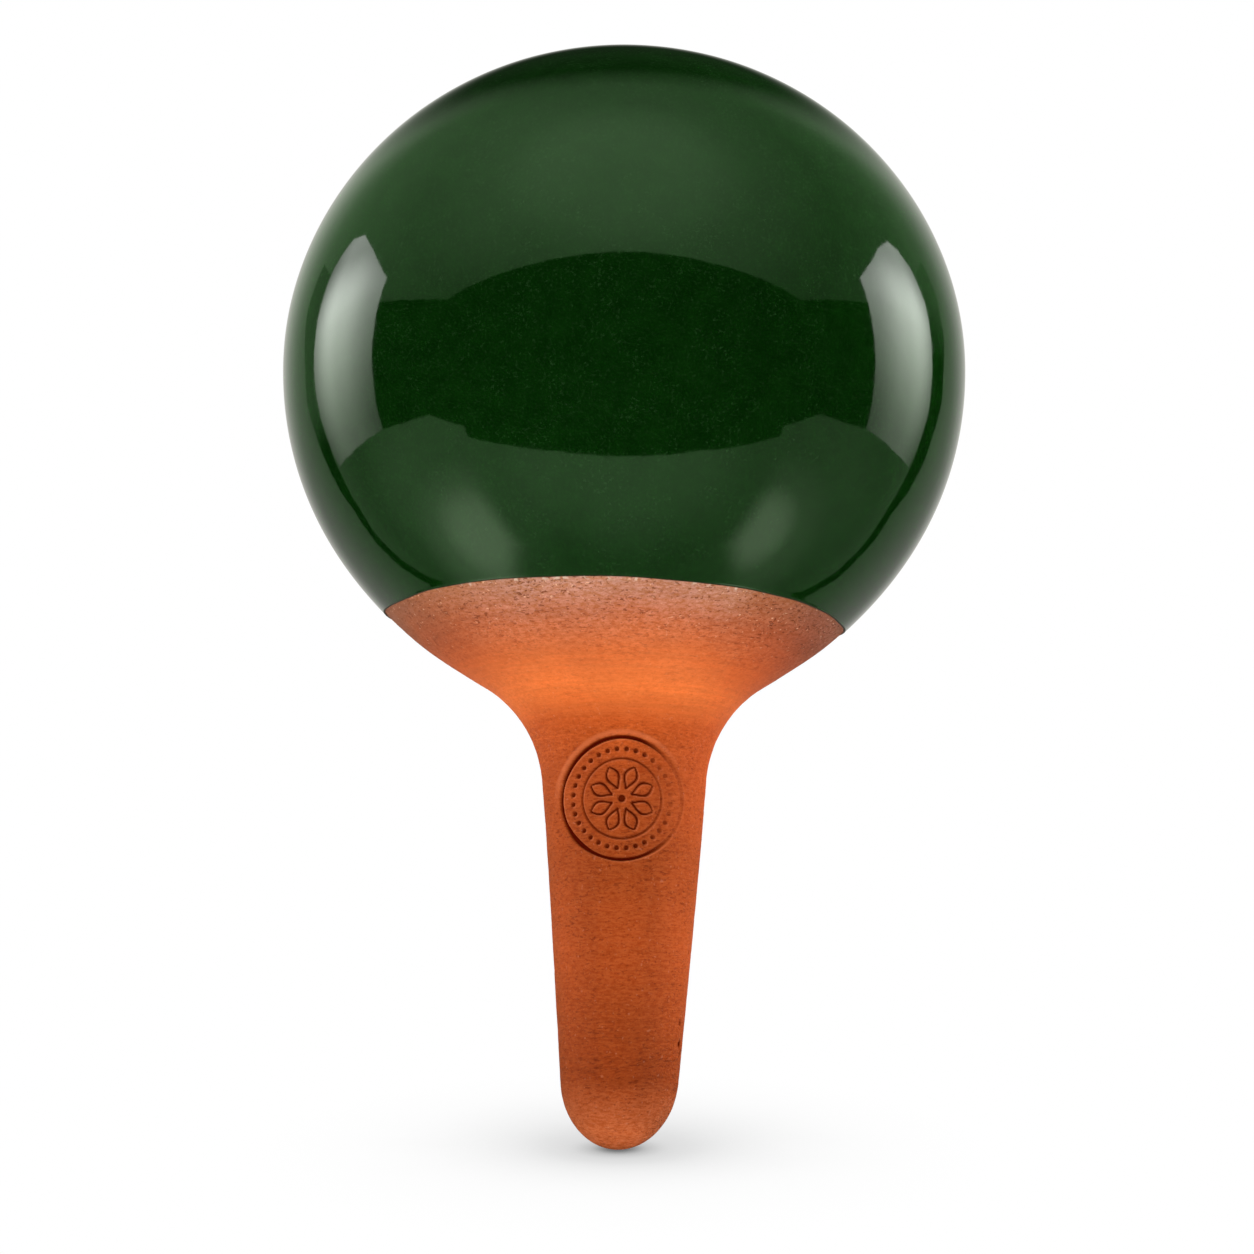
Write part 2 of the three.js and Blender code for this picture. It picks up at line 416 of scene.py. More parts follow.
def seal_lip(x, z):
    """How far the clay is raised just over the seal's ring, from 0 to 1."""
    dx, dz = x - SEAL_X, z - SEAL_Z
    outside = math.hypot(dx, dz) - SEAL_RADIUS - SEAL_LINE
    if not 0 < outside < LIP_REACH:
        return 0.0
    faded = smooth_step(LIP_START, LIP_FULL, dz - LIP_TILT * dx)
    return faded * math.sin(math.pi * outside / LIP_REACH)


def chip_press(p):
    """How deep a chip takes the clay away at a point of the spike, as a length."""
    deepest = 0.0
    for degrees, height, radius, depth in CHIPS:
        if abs(p.z - height) > radius:
            continue
        turn = math.atan2(p.x, -p.y) - math.radians(degrees)
        reach = math.hypot(turn * math.hypot(p.x, p.y), p.z - height)
        reach += CHIP_ROUGH * radius * noise.noise(p * CHIP_SCALE)
        deepest = max(deepest, depth * (1 - smooth_step(CHIP_CORE * radius, radius, reach)))
    return deepest


def line_press(offset, half_width, edge):
    return 1 - smooth_step(half_width - edge, half_width + edge, abs(offset))


def leaning(p):
    """The place of a point of the spike once it leans."""
    along = max(0, (LEAN_START - p.z) / (LEAN_START - TIP_HEIGHT))
    return Vector((p.x + LEAN_SHIFT * along**LEAN_POWER, p.y, p.z))


def pressed_out(rings, relief):
    """Rings moved out from the axis, or in, by a relief of each point."""
    moved = []
    for points in rings:
        if len(points) == 1:
            moved.append(points)
            continue
        moved.append([p + Vector((p.x, p.y, 0)).normalized() * relief(p) for p in points])
    return moved


# Pieces

def make_bulb(material):
    angles = even_angles(ROUND_COUNT)
    ring_start = place_at(crown, 0, RING_RADIUS)
    bare_start = place_at(bowl, 1, 2 * DIP_HEIGHT)
    seat_start = place_at(bowl, 1, SEAT_ABOVE)
    hidden = stretch(crown, ring_start, 1, COARSE_STEP, CLAY_SWELL)
    hidden += stretch(bowl, 0, bare_start, COARSE_STEP, CLAY_SWELL)[1:]
    bare = []
    for point, base in zip(
        stretch(bowl, bare_start, seat_start, FINE_STEP, 1),
        stretch(bowl, bare_start, seat_start, FINE_STEP),
    ):
        bare.append(base + (point - base) * clay_swell(base.y))
    inside = stretch(bowl, 1, 0, INSIDE_STEP, -WALL)
    collar_start = place_at(crown, 0, COLLAR_RADIUS, -WALL)
    inside += stretch(crown, 1, collar_start, INSIDE_STEP, -WALL)[1:]
    dish_bottom = RING_HEIGHT - DISH_DEPTH
    throat_bottom = dish_bottom - THROAT_LENGTH
    throat_low = THROAT_RADIUS - THROAT_LENGTH * math.tan(THROAT_TAPER)
    mouth = rounded(
        [
            inside[-1],
            Vector((COLLAR_RADIUS, throat_bottom)),
            Vector((throat_low, throat_bottom)),
            Vector((THROAT_RADIUS, dish_bottom)),
            Vector((DISH_RADIUS, RING_HEIGHT)),
            Vector((RING_RADIUS, RING_HEIGHT)),
            hidden[0],
        ],
        MOUTH_ROUND,
    )
    outside = hidden + bare[1:]
    rings = pressed_out([ring(p, angles) for p in bare[1:]], clay_relief)
    rings = [ring(p, angles) for p in hidden] + rings
    rings += [ring(p, angles) for p in inside + mouth[1:-1]]
    seat_ring = len(outside) - 1
    piece = skin("bulb_clay", rings, closed=True, sharp=(seat_ring, seat_ring + 1))
    mount(piece, material, "pot", "bulb")


def make_spike(material):
    angles = seal_angles()
    start = place_at(flare, 1, SEAT_BELOW)
    seal_start = place_at(flare, 1, SEAL_Z + SEAL_RADIUS + LIP_REACH)
    seal_end = place_at(taper, 1, SEAL_Z - SEAL_RADIUS - LIP_REACH)
    outside = stretch(flare, start, seal_start, FINE_STEP)
    outside += stretch(flare, seal_start, 1, SEAL_STEP)[1:]
    outside += stretch(taper, 0, seal_end, SEAL_STEP)[1:]
    outside += stretch(taper, seal_end, 1, SPIKE_STEP)[1:]
    outside += stretch(tip, 0, 1, SPIKE_STEP)[1:]
    outside[-1].x = 0
    bore_start = place_at(flare, 1, SEAT_BELOW, -WALL)
    inside = stretch(tip, 1, 0, INSIDE_STEP, -WALL)
    inside += stretch(taper, 1, 0, INSIDE_STEP, -WALL)[1:]
    inside += stretch(flare, 1, bore_start, INSIDE_STEP, -WALL)[1:]
    inside[0].x = 0
    pressed_shades, burr_highlights = [], []

    def relief(p):
        front = p.y < 0
        press = seal_press(p.x, p.z) if front else 0.0
        burr_and_highlight = seal_burr(p.x, p.z, press) if front else 0.0
        lip = seal_lip(p.x, p.z) if front else 0.0
        chip = chip_press(p)
        # Painted shade, by how deep the seal or a chip goes
        pressed_shades.append(max(press, min(1.0, chip / CHIP_FULL_SHADE)))
        # The burrs and the lip are also the mask of a painted highlight
        burr_highlights.append(max(burr_and_highlight, lip))
        return clay_relief(p) + SEAL_BURR * burr_and_highlight + SEAL_LIP * lip - chip - SEAL_DEPTH * press

    rings = pressed_out([ring(p, angles) for p in outside], relief)
    pressed_shades += [0.0]
    burr_highlights += [0.0]
    rings += [ring(p, angles) for p in inside]
    rings = [[leaning(p) for p in points] for points in rings]
    opened = rings[len(outside):] + rings[:len(outside)]
    seats = (len(inside) - 1, len(inside))
    piece = skin("spike_clay", opened, closed=False, sharp=seats)
    hidden = [0.0] * (len(piece.data.vertices) - len(pressed_shades))
    vertex_mark(piece, "pressed_and_shaded", hidden + pressed_shades)
    vertex_mark(piece, "burr_and_highlight", hidden + burr_highlights)
    mount(piece, material, "pot", "spike")


def make_slip(material):
    angles = even_angles(ROUND_COUNT)
    rim = stretch(bowl, place_at(bowl, 1, SEAT_ABOVE), 1, FINE_STEP)
    rim += stretch(flare, 0, place_at(flare, 1, SEAT_BELOW), FINE_STEP)[1:]
    bore = beside(flare, place_at(flare, 1, SEAT_BELOW, -WALL), -WALL).x
    rings = pressed_out([ring(p, angles) for p in rim], clay_relief)
    rings += [ring(Vector((bore, height)), angles) for height in (SEAT_BELOW, SEAT_ABOVE)]
    edges = (0, len(rim) - 1, len(rim), len(rim) + 1)
    piece = skin("slip_joint", rings, closed=True, sharp=edges)
    mount(piece, material, "pot", "luting_slip")


def dip_end(angle, distance):
    """The place on the bowl where the glaze ends, at an angle round the axis."""
    around = (WAVER_SCALE * math.cos(angle), WAVER_SCALE * math.sin(angle), WAVER_PLACE)
    waver = DIP_WAVER * noise.noise(around)
    right = (angle - FRONT + math.pi) % (2 * math.pi) - math.pi
    start = RISE_RIGHT if right > 0 else RISE_LEFT
    waver += DIP_RISE * smooth_step(start, RISE_FULL, abs(right))
    low, high = 0.0, 1.0
    for _ in range(DIP_HALVINGS):
        middle = (low + high) / 2
        point = beside(bowl, middle, distance)
        x, y = point.x * math.cos(angle), point.x * math.sin(angle)
        if point.y > DIP_HEIGHT - DIP_LEAN * x - DIP_PITCH * y + waver:
            low = middle
        else:
            high = middle
    return (low + high) / 2


def make_glaze(material):
    angles = even_angles(ROUND_COUNT)
    edge_start = place_at(crown, 0, RING_RADIUS + GLAZE_OUTER, GLAZE_OUTER)
    ends = [dip_end(a, GLAZE_OUTER) for a in angles]
    edge_share = GLAZE_EDGE / BOWL_LENGTH
    roll_share = ROLL_WIDTH / BOWL_LENGTH
    rings, rims = [], []

    def coat(curve, spans, fraction, distance):
        points = []
        for angle, span in zip(angles, spans):
            flat = beside(curve, span * fraction, distance)
            p = Vector((flat.x * math.cos(angle), flat.x * math.sin(angle), flat.y))
            wave = GLAZE_WAVE * noise.noise(p * GLAZE_WAVE_SCALE)
            points.append(p + Vector((p.x, p.y, p.z - EQUATOR_HEIGHT)).normalized() * wave)
        return points

    whole = [1.0] * ROUND_COUNT
    for i in range(COAT_STEPS):
        fraction = edge_start + (1 - edge_start) * i / COAT_STEPS
        rings.append(coat(crown, whole, fraction, GLAZE_OUTER))
    for i in range(COAT_STEPS):
        rings.append(coat(bowl, ends, (1 - roll_share) * i / COAT_STEPS, GLAZE_OUTER))
    for i in range(ROLL_STEPS + 1):
        t = i / ROLL_STEPS
        fraction = 1 - roll_share + (roll_share - edge_share) * t
        rings.append(coat(bowl, ends, fraction, GLAZE_OUTER + GLAZE_ROLL * smooth_step(0, 1, t)))
    rims += [0.0] * (len(rings) - 1) + [ROLL_MARK]
    for i in range(1, EDGE_STEPS + 1):
        turn = math.pi / 2 * i / EDGE_STEPS
        distance = GLAZE_INNER + (GLAZE_OUTER + GLAZE_ROLL - GLAZE_INNER) * math.cos(turn)
        rings.append(coat(bowl, ends, 1 - edge_share * (1 - math.sin(turn)), distance))
        rims.append(1.0)
    inner_steps = COAT_STEPS // 2
    for i in range(1, inner_steps):
        rings.append(coat(bowl, ends, 1 - i / inner_steps, GLAZE_INNER))
    for i in range(inner_steps + 1):
        rings.append(coat(crown, whole, 1 - (1 - edge_start) * i / inner_steps, GLAZE_INNER))
    rims += [0.0] * (len(rings) - len(rims))
    piece = skin("glaze_skin", rings, closed=True)
    vertex_mark(piece, "rim", [value for value in rims for _ in angles])
    mount(piece, material, "pot", "glaze_coat")


def make_cork(material):
    angles = even_angles(CORK_COUNT)
    dish_bottom = RING_HEIGHT - DISH_DEPTH

    def radius_at(height):
        return THROAT_RADIUS + (height - dish_bottom) * math.tan(THROAT_TAPER) - CORK_FIT

    corners = rounded(
        [
            Vector((0, CORK_HIGH)),
            Vector((radius_at(CORK_HIGH), CORK_HIGH)),
            Vector((radius_at(CORK_LOW), CORK_LOW)),
            Vector((0, CORK_LOW)),
        ],
        CORK_ROUND,
    )
    outline = []
    for start, end in zip(corners, corners[1:]):
        count = max(1, round((end - start).length / (2 * FINE_STEP)))
        outline += [start.lerp(end, i / count) for i in range(count)]
    outline.append(corners[-1])
    rings = [[p + cork_pit(p) for p in ring(flat, angles)] for flat in outline]
    piece = skin("cork_stopper", rings, closed=False)
    mount(piece, material, "stopper", "filler_stopper")


def cork_pit(p):
    """Inward move of a point of the cork, at its pits and pores."""
    streak = noise.noise((p.x * PIT_ACROSS, p.y * PIT_ACROSS, p.z * PIT_UP))
    pit = smooth_step(PIT_LOW, PIT_HIGH, streak)
    grain = 0.5 + 0.5 * noise.noise(p * CORK_GRAIN_SCALE)
    middle = Vector((0, 0, (CORK_LOW + CORK_HIGH) / 2))
    return (middle - p).normalized() * (PIT_DEPTH * pit + CORK_GRAIN_DEPTH * grain)


# Shader nodes

def add(tree, kind, inputs=None, **settings):
    """A node with its settings, and its inputs set or linked."""
    made = tree.nodes.new(kind)
    for key, value in settings.items():
        setattr(made, key, value)
    for key, value in (inputs or {}).items():
        if isinstance(value, bpy.types.NodeSocket):
            tree.links.new(value, made.inputs[key])
        else:
            made.inputs[key].default_value = value
    return made


def calc(tree, operation, *values):
    inputs = dict(enumerate(values))
    return add(tree, "ShaderNodeMath", inputs, operation=operation).outputs[0]


def span(tree, value, low, high, start=0.0, end=1.0):
    """A value mapped smoothly from one span to another, and held at its ends."""
    inputs = {"Value": value, "From Min": low, "From Max": high, "To Min": start, "To Max": end}
    made = add(tree, "ShaderNodeMapRange", inputs, interpolation_type="SMOOTHSTEP")
    return made.outputs["Result"]


def blend(tree, factor, first, second, mode="MIX"):
    made = add(tree, "ShaderNodeMix", data_type="RGBA", blend_type=mode)
    for index, value in ((0, factor), (6, first), (7, second)):
        if isinstance(value, bpy.types.NodeSocket):
            tree.links.new(value, made.inputs[index])
        else:
            made.inputs[index].default_value = value
    return made.outputs[2]


def ramp(tree, factor, stops):
    """A colour from a value, through stops of a place and a colour."""
    made = add(tree, "ShaderNodeValToRGB", {"Fac": factor})
    points = made.color_ramp.elements
    while len(points) < len(stops):
        points.new(1.0)
    for point, (place, colour) in zip(points, stops):
        point.position = place
        point.color = (*colour, 1)
    return made.outputs["Color"]


def scaled(tree, place, scale):
    inputs = {0: place, 1: scale}
    return add(tree, "ShaderNodeVectorMath", inputs, operation="MULTIPLY").outputs[0]


def cloud(tree, place, scale, detail=3.0, roughness=0.55):
    inputs = {"Vector": place, "Scale": scale, "Detail": detail, "Roughness": roughness}
    return add(tree, "ShaderNodeTexNoise", inputs).outputs["Fac"]


def new_material(name):
    material = bpy.data.materials.new(name)
    material.use_nodes = True
    material.node_tree.nodes.clear()
    return material, material.node_tree


def surface(tree, colour, roughness, height, bump_depth, **constants):
    """The principled shader with its bump, and the numbers that are the same all over."""
    bump = add(tree, "ShaderNodeBump", {"Height": height, "Distance": bump_depth, "Strength": 1.0})
    inputs = {"Base Color": colour, "Roughness": roughness, "Normal": bump.outputs["Normal"]}
    inputs.update({key.replace("_", " "): value for key, value in constants.items()})
    shader = add(tree, "ShaderNodeBsdfPrincipled", inputs)
    add(tree, "ShaderNodeOutputMaterial", {"Surface": shader.outputs[0]})


# Materials. A noise is given by its scale, detail and roughness, and a span by its two ends, some with the
# two values that they are mapped to.

# Colours of the clay down from the glaze line, by the share of a span. Partly its own colour, partly
# painted light: the bright band near the shoulder is a painted glow and the paler tip is painted light
CLAY_SPAN = 90 * MM
CLAY_STOPS_WITH_PAINTED_LIGHT = (
    (0.0, (0.50, 0.226, 0.14)),
    (0.05, (0.495, 0.146, 0.064)),
    (0.10, (0.62, 0.138, 0.033)),
    (0.15, (0.79, 0.174, 0.035)),
    (0.21, (0.52, 0.088, 0.0125)),
    (0.30, (0.385, 0.065, 0.010)),
    (0.46, (0.308, 0.053, 0.008)),
    (0.61, (0.36, 0.061, 0.0098)),
    (0.87, (0.23, 0.036, 0.0046)),
    (0.96, (0.46, 0.102, 0.0275)),
)
# Tints towards the clay's sides: painted sheen and shade, pale in front and darker and more saturated at
# the sides
SIDE_SHADE_STOPS = (
    (0.0, (1, 1, 1)),
    (0.4, (0.84, 0.68, 0.52)),
    (0.72, (0.70, 0.51, 0.36)),
    (1.0, (0.56, 0.4, 0.33)),
)
SIDE_SHADE_START = 11 * MM
SIDE_SHADE_FULL = 42 * MM
SIDE_SHADE_SHIFT = 4 * MM
SIDE_SHADE_DRIFT = 12 * MM
DRIFT_SCALE = 90
DRIFT_SHARE = 0.035

# Short strokes and grain, which are calmer on the brightest band and to the left
STROKES, STROKE_STRETCH = (900, 4, 0.65), (1, 1, 3.2)
GRAIN = (3200, 3, 0.7)
STROKE_SHARE, GRAIN_SHARE = 0.65, 0.35
TEXTURE_SPAN = (0.37, 0.63)
DARK_TINT = (0.84, 0.70, 0.46, 1)
PALE_TINT = (1.15, 1.30, 1.58, 1)
CALM_PLACE, CALM_HALF, CALM_SHARE = 0.15, 0.03, 0.36
LEFT_CALM_FULL, LEFT_CALM_START, LEFT_CALM_SHARE = -42 * MM, -16 * MM, 0.5

# Turning lines and patches
TURNED, TURNED_STRETCH = (48, 5, 0.65), (1, 1, 34)
TURNED_SPAN = (0.3, 0.7, 0.94, 1.06)
PATCHES = (110, 3)
PATCH_SPAN = (0.3, 0.7, 0.96, 1.04)

# Pale grit, dark dashes and specks, and crumbs at the glaze line. Grit and dashes thin out below it.
WORN_DEPTH = 9 * MM
GRIT_LEFT, DASH_LEFT = 0.13, 0.55
GRIT, GRIT_SPAN, GRIT_SHARE = (1500, 1, 0.5), (0.68, 0.76), 0.7
GRIT_COLOUR = (0.85, 0.50, 0.31, 1)
DASHES, DASH_STRETCH, DASH_SPAN = (760, 3, 0.6), (1, 1, 3.4), (0.585, 0.64)
DASH_PATCHES, DASH_PATCH_SPAN = (130, 2), (0.42, 0.54)
SPECKS, SPECK_STRETCH, SPECK_SPAN = (1700, 2, 0.5), (1, 1, 1.6), (0.61, 0.68)
SPECK_SHARE = 0.85
DASH_TINT = (0.42, 0.27, 0.17, 1)
CRUMBS, CRUMB_SPAN, CRUMB_SHARE = (900, 2, 0.5), (0.56, 0.68), 0.8
CRUMB_DEPTH = 0.5 * MM
CRUMB_SIDES = (0.3, 0.7, 1.0, 0.0)
CRUMB_COLOUR = (0.71, 0.57, 0.44, 1)

# Painted shade in the seal's grooves and in the chips
SEAL_SHADE_COLOUR = (0.066, 0.0025, 0.0003, 1)
SEAL_SHADE_SHARE = 0.97
# Painted highlight on the raised burrs beside the seal's lines and on the lip over its ring
BURR_HIGHLIGHT_COLOUR = (0.67, 0.175, 0.06, 1)
BURR_HIGHLIGHT_SHARE = 0.55
TEXTURE_HEIGHT, TURNED_HEIGHT, DASH_HEIGHT = 0.8, 0.3, 0.3
CLAY_ROUGHNESS = (0.2, 0.8, 0.78, 0.95)
CLAY_GLEAM = 0.25
CLAY_BUMP = 0.16 * MM
CLAY_TINT, SLIP_TINT = 1.04, 1.06


def clay_material(name, tint=1.0):
    """Fired earthenware, paler and pinker under the glaze, with turning lines, strokes, grit and dashes,
    and painted light: a glow band and paler tip, shaded sides, highlit burrs, shaded seal grooves and
    chips.
    """
    material, tree = new_material(name)
    place = add(tree, "ShaderNodeTexCoord").outputs["Object"]
    parts = add(tree, "ShaderNodeSeparateXYZ", {"Vector": place}).outputs
    tilt = calc(tree, "MULTIPLY_ADD", parts["X"], DIP_LEAN, parts["Z"])
    tilt = calc(tree, "MULTIPLY_ADD", parts["Y"], DIP_PITCH, tilt)
    below = calc(tree, "SUBTRACT", DIP_HEIGHT, tilt)
    drift = calc(tree, "SUBTRACT", cloud(tree, place, DRIFT_SCALE), 0.5)
    depth = calc(tree, "MULTIPLY_ADD", drift, DRIFT_SHARE, calc(tree, "DIVIDE", below, CLAY_SPAN))
    # Clay colour down from the glaze line, with its painted glow band and painted-lit tip
    colour = ramp(tree, depth, CLAY_STOPS_WITH_PAINTED_LIGHT)
    # Painted sheen and shade: the clay stays pale in front and is tinted darker and more saturated towards
    # the sides
    across = calc(tree, "ADD", calc(tree, "MULTIPLY_ADD", drift, SIDE_SHADE_DRIFT, parts["X"]), SIDE_SHADE_SHIFT)
    aside = span(tree, calc(tree, "ABSOLUTE", across), SIDE_SHADE_START, SIDE_SHADE_FULL)
    colour = blend(tree, 1.0, colour, ramp(tree, aside, SIDE_SHADE_STOPS), "MULTIPLY")

    strokes = cloud(tree, scaled(tree, place, STROKE_STRETCH), *STROKES)
    grain = cloud(tree, place, *GRAIN)
    grain_part = calc(tree, "MULTIPLY", grain, GRAIN_SHARE)
    mixed = calc(tree, "MULTIPLY_ADD", strokes, STROKE_SHARE, grain_part)
    texture = blend(tree, span(tree, mixed, *TEXTURE_SPAN), DARK_TINT, PALE_TINT)
    calm = calc(tree, "ABSOLUTE", calc(tree, "SUBTRACT", depth, CALM_PLACE))
    calm = span(tree, calm, CALM_HALF, 3 * CALM_HALF, CALM_SHARE, 1.0)
    calm_left = span(tree, parts["X"], LEFT_CALM_FULL, LEFT_CALM_START, LEFT_CALM_SHARE, 1.0)
    calm = calc(tree, "MULTIPLY", calm, calm_left)
    colour = blend(tree, calm, colour, texture, "MULTIPLY")
    turned = cloud(tree, scaled(tree, place, TURNED_STRETCH), *TURNED)
    patches = cloud(tree, place, *PATCHES)
    shade = span(tree, turned, *TURNED_SPAN)
    shade = calc(tree, "MULTIPLY", shade, span(tree, patches, *PATCH_SPAN))
    shade = calc(tree, "MULTIPLY", shade, tint)
    grey = add(tree, "ShaderNodeCombineColor", {0: shade, 1: shade, 2: shade}).outputs[0]
    colour = blend(tree, 1.0, colour, grey, "MULTIPLY")

    away = calc(tree, "ABSOLUTE", below)
    grit = span(tree, cloud(tree, place, *GRIT), *GRIT_SPAN)
    grit_worn = span(tree, away, 0.0, WORN_DEPTH, 1.0, GRIT_LEFT)
    grit = calc(tree, "MULTIPLY", grit, calc(tree, "MULTIPLY", grit_worn, GRIT_SHARE))
    colour = blend(tree, grit, colour, GRIT_COLOUR)
    dashes = span(tree, cloud(tree, scaled(tree, place, DASH_STRETCH), *DASHES), *DASH_SPAN)
    dash_patches = span(tree, cloud(tree, place, *DASH_PATCHES), *DASH_PATCH_SPAN)
    dashes = calc(tree, "MULTIPLY", dashes, dash_patches)
    specks = span(tree, cloud(tree, scaled(tree, place, SPECK_STRETCH), *SPECKS), *SPECK_SPAN)
    dashes = calc(tree, "MAXIMUM", dashes, calc(tree, "MULTIPLY", specks, SPECK_SHARE))
    dashes = calc(tree, "MULTIPLY", dashes, span(tree, away, 0.0, WORN_DEPTH, 1.0, DASH_LEFT))
    dashes = calc(tree, "MULTIPLY", dashes, calm)
    colour = blend(tree, dashes, colour, DASH_TINT, "MULTIPLY")
    crumbs = span(tree, cloud(tree, place, *CRUMBS), *CRUMB_SPAN)
    crumbs = calc(tree, "MULTIPLY", crumbs, span(tree, away, 0.0, CRUMB_DEPTH, CRUMB_SHARE, 0.0))
    crumbs = calc(tree, "MULTIPLY", crumbs, span(tree, aside, *CRUMB_SIDES))
    colour = blend(tree, crumbs, colour, CRUMB_COLOUR)
    # Painted highlight along the seal's burrs and lip
    burr_and_highlight = add(tree, "ShaderNodeAttribute", attribute_name="burr_and_highlight").outputs["Fac"]
    colour = blend(tree, calc(tree, "MULTIPLY", burr_and_highlight, BURR_HIGHLIGHT_SHARE), colour, BURR_HIGHLIGHT_COLOUR)
    # Painted shade in the seal's grooves and the chips
    pressed_and_shaded = add(tree, "ShaderNodeAttribute", attribute_name="pressed_and_shaded").outputs["Fac"]
    colour = blend(tree, calc(tree, "MULTIPLY", pressed_and_shaded, SEAL_SHADE_SHARE), colour, SEAL_SHADE_COLOUR)

    turned_part = calc(tree, "MULTIPLY", turned, TURNED_HEIGHT)
    height = calc(tree, "MULTIPLY_ADD", mixed, TEXTURE_HEIGHT, turned_part)
    height = calc(tree, "MULTIPLY", height, calm)
    height = calc(tree, "SUBTRACT", height, calc(tree, "MULTIPLY", dashes, DASH_HEIGHT))
    roughness = span(tree, grain, *CLAY_ROUGHNESS)
    gleam = span(tree, pressed_and_shaded, 0.0, 1.0, CLAY_GLEAM, 0.0)
    surface(tree, colour, roughness, height, CLAY_BUMP, Specular_IOR_Level=gleam)
    return material


# Mottling, flecks and ripple of the glaze, and its brown, rougher edge
GLAZE_DEEP = (0.0011, 0.0120, 0.0007, 1)
GLAZE_LIGHT = (0.0019, 0.0168, 0.0013, 1)
MOTTLE, MOTTLE_SPAN = (300, 5, 0.6), (0.3, 0.72)
FLECKS, FLECK_SPAN, FLECK_SHARE = (2300, 3, 0.6), (0.5, 0.78), 0.47
FLECK_PATCHES, FLECK_PATCH_SPAN = 160, (0.35, 0.65, 0.45, 1.0)
FLECK_COLOUR = (0.020, 0.055, 0.018, 1)
RIM_SPAN = (0.1, 0.9)
RIM_COLOUR = (0.026, 0.008, 0.004, 1)
RIM_ROUGHNESS = 0.5
GLAZE_SMEARS, GLAZE_ROUGHNESS = 500, (0.3, 0.7, 0.035, 0.065)
RIPPLE, RIPPLE_DEPTH = (260, 2, 0.4), 0.012 * MM
GLAZE_IOR = 1.45


def glaze_material():
    """Deep green glass glaze: faint mottling, fine pale flecks, a glossy face and a brown edge."""
    material, tree = new_material("green_glaze")
    place = add(tree, "ShaderNodeTexCoord").outputs["Object"]
    mottle = span(tree, cloud(tree, place, *MOTTLE), *MOTTLE_SPAN)
    colour = blend(tree, mottle, GLAZE_DEEP, GLAZE_LIGHT)
    fleck = span(tree, cloud(tree, place, *FLECKS), *FLECK_SPAN)
    fleck_patches = span(tree, cloud(tree, place, FLECK_PATCHES), *FLECK_PATCH_SPAN)
    fleck = calc(tree, "MULTIPLY", fleck, fleck_patches)
    colour = blend(tree, calc(tree, "MULTIPLY", fleck, FLECK_SHARE), colour, FLECK_COLOUR)
    rim = add(tree, "ShaderNodeAttribute", attribute_name="rim").outputs["Fac"]
    edge = span(tree, rim, *RIM_SPAN)
    colour = blend(tree, edge, colour, RIM_COLOUR)
    ripple = cloud(tree, place, *RIPPLE)
    roughness = span(tree, cloud(tree, place, GLAZE_SMEARS), *GLAZE_ROUGHNESS)
    roughness = calc(tree, "MULTIPLY_ADD", edge, RIM_ROUGHNESS, roughness)
    surface(tree, colour, roughness, ripple, RIPPLE_DEPTH, IOR=GLAZE_IOR)
    return material


# Cells and streaked pits of the cork
CORK_CELLS = (900, 4, 0.6)
CORK_STOPS = (
    (0.25, (0.30, 0.155, 0.066)),
    (0.5, (0.50, 0.29, 0.13)),
    (0.75, (0.62, 0.39, 0.20)),
)
PITS, PIT_STRETCH, PIT_SPAN = (330, 4, 0.6), (1, 1, 2.6), (0.56, 0.68)
PIT_SHARE = 0.8
PIT_COLOUR = (0.12, 0.05, 0.02, 1)
CORK_ROUGHNESS = (0.2, 0.8, 0.75, 0.92)
CORK_BUMP = 0.2 * MM
CORK_GLEAM = 0.3


def cork_material():
    """Bark cork: pale tan cells with brown pits and streaks."""
    material, tree = new_material("bark_cork")
    place = add(tree, "ShaderNodeTexCoord").outputs["Object"]
    cell = cloud(tree, place, *CORK_CELLS)
    colour = ramp(tree, cell, CORK_STOPS)
    pits = span(tree, cloud(tree, scaled(tree, place, PIT_STRETCH), *PITS), *PIT_SPAN)
    pit_part = calc(tree, "MULTIPLY", pits, PIT_SHARE)
    colour = blend(tree, pit_part, colour, PIT_COLOUR)
    height = calc(tree, "SUBTRACT", cell, pit_part)
    roughness = span(tree, cell, *CORK_ROUGHNESS)
    surface(tree, colour, roughness, height, CORK_BUMP, Specular_IOR_Level=CORK_GLEAM)
    return material


clay = clay_material("terracotta_clay", CLAY_TINT)
make_bulb(clay)
make_spike(clay)
make_slip(clay_material("slip_clay", SLIP_TINT))
make_glaze(glaze_material())
make_cork(cork_material())


# Studio: a white ground and surround, four lamps, and what the glaze shows: soft lights all round, two tall
# softboxes with dark frames, and a black card in front

BULB_CENTRE = Vector((0, 0, EQUATOR_HEIGHT))
SOFT_LEVEL = 0.157
FLOOR_SIZE = 8.0
FLOOR_SLOPE = math.radians(11.5)
FLOOR_BELOW = 0.2 * MM
FLOOR_TONE = 0.4
SHADOW_REACH = 55 * MM
SHADOW_TONES = (
    (0.05, 0.17), (0.30, 0.53), (0.55, 0.71), (0.72, 0.77), (0.85, 0.905), (0.92, 0.982), (1, 1),
)
SHADOW_SAMPLES = 32
TOP_LAMP_PLACE = (0, -0.25, 0.75)
TOP_LAMP_SIZE = 0.7
TOP_LAMP_POWER = 4.35
LOW_LAMP_PLACE = (-0.09, -0.45, -0.24)
LOW_LAMP_SIZE = 0.35
LOW_LAMP_POWER = 2.6
RIGHT_LAMP_PLACE = (0.42, 0.12, 0.30)
RIGHT_LAMP_POWER = 5.4
LEFT_LAMP_PLACE = (-0.42, 0.12, 0.30)
LEFT_LAMP_POWER = 2.5
SIDE_LAMP_SIZE = 0.25
SHOULDER = (0, 0, 0)
SPIKE_MIDDLE = (0, 0, TIP_HEIGHT / 2)

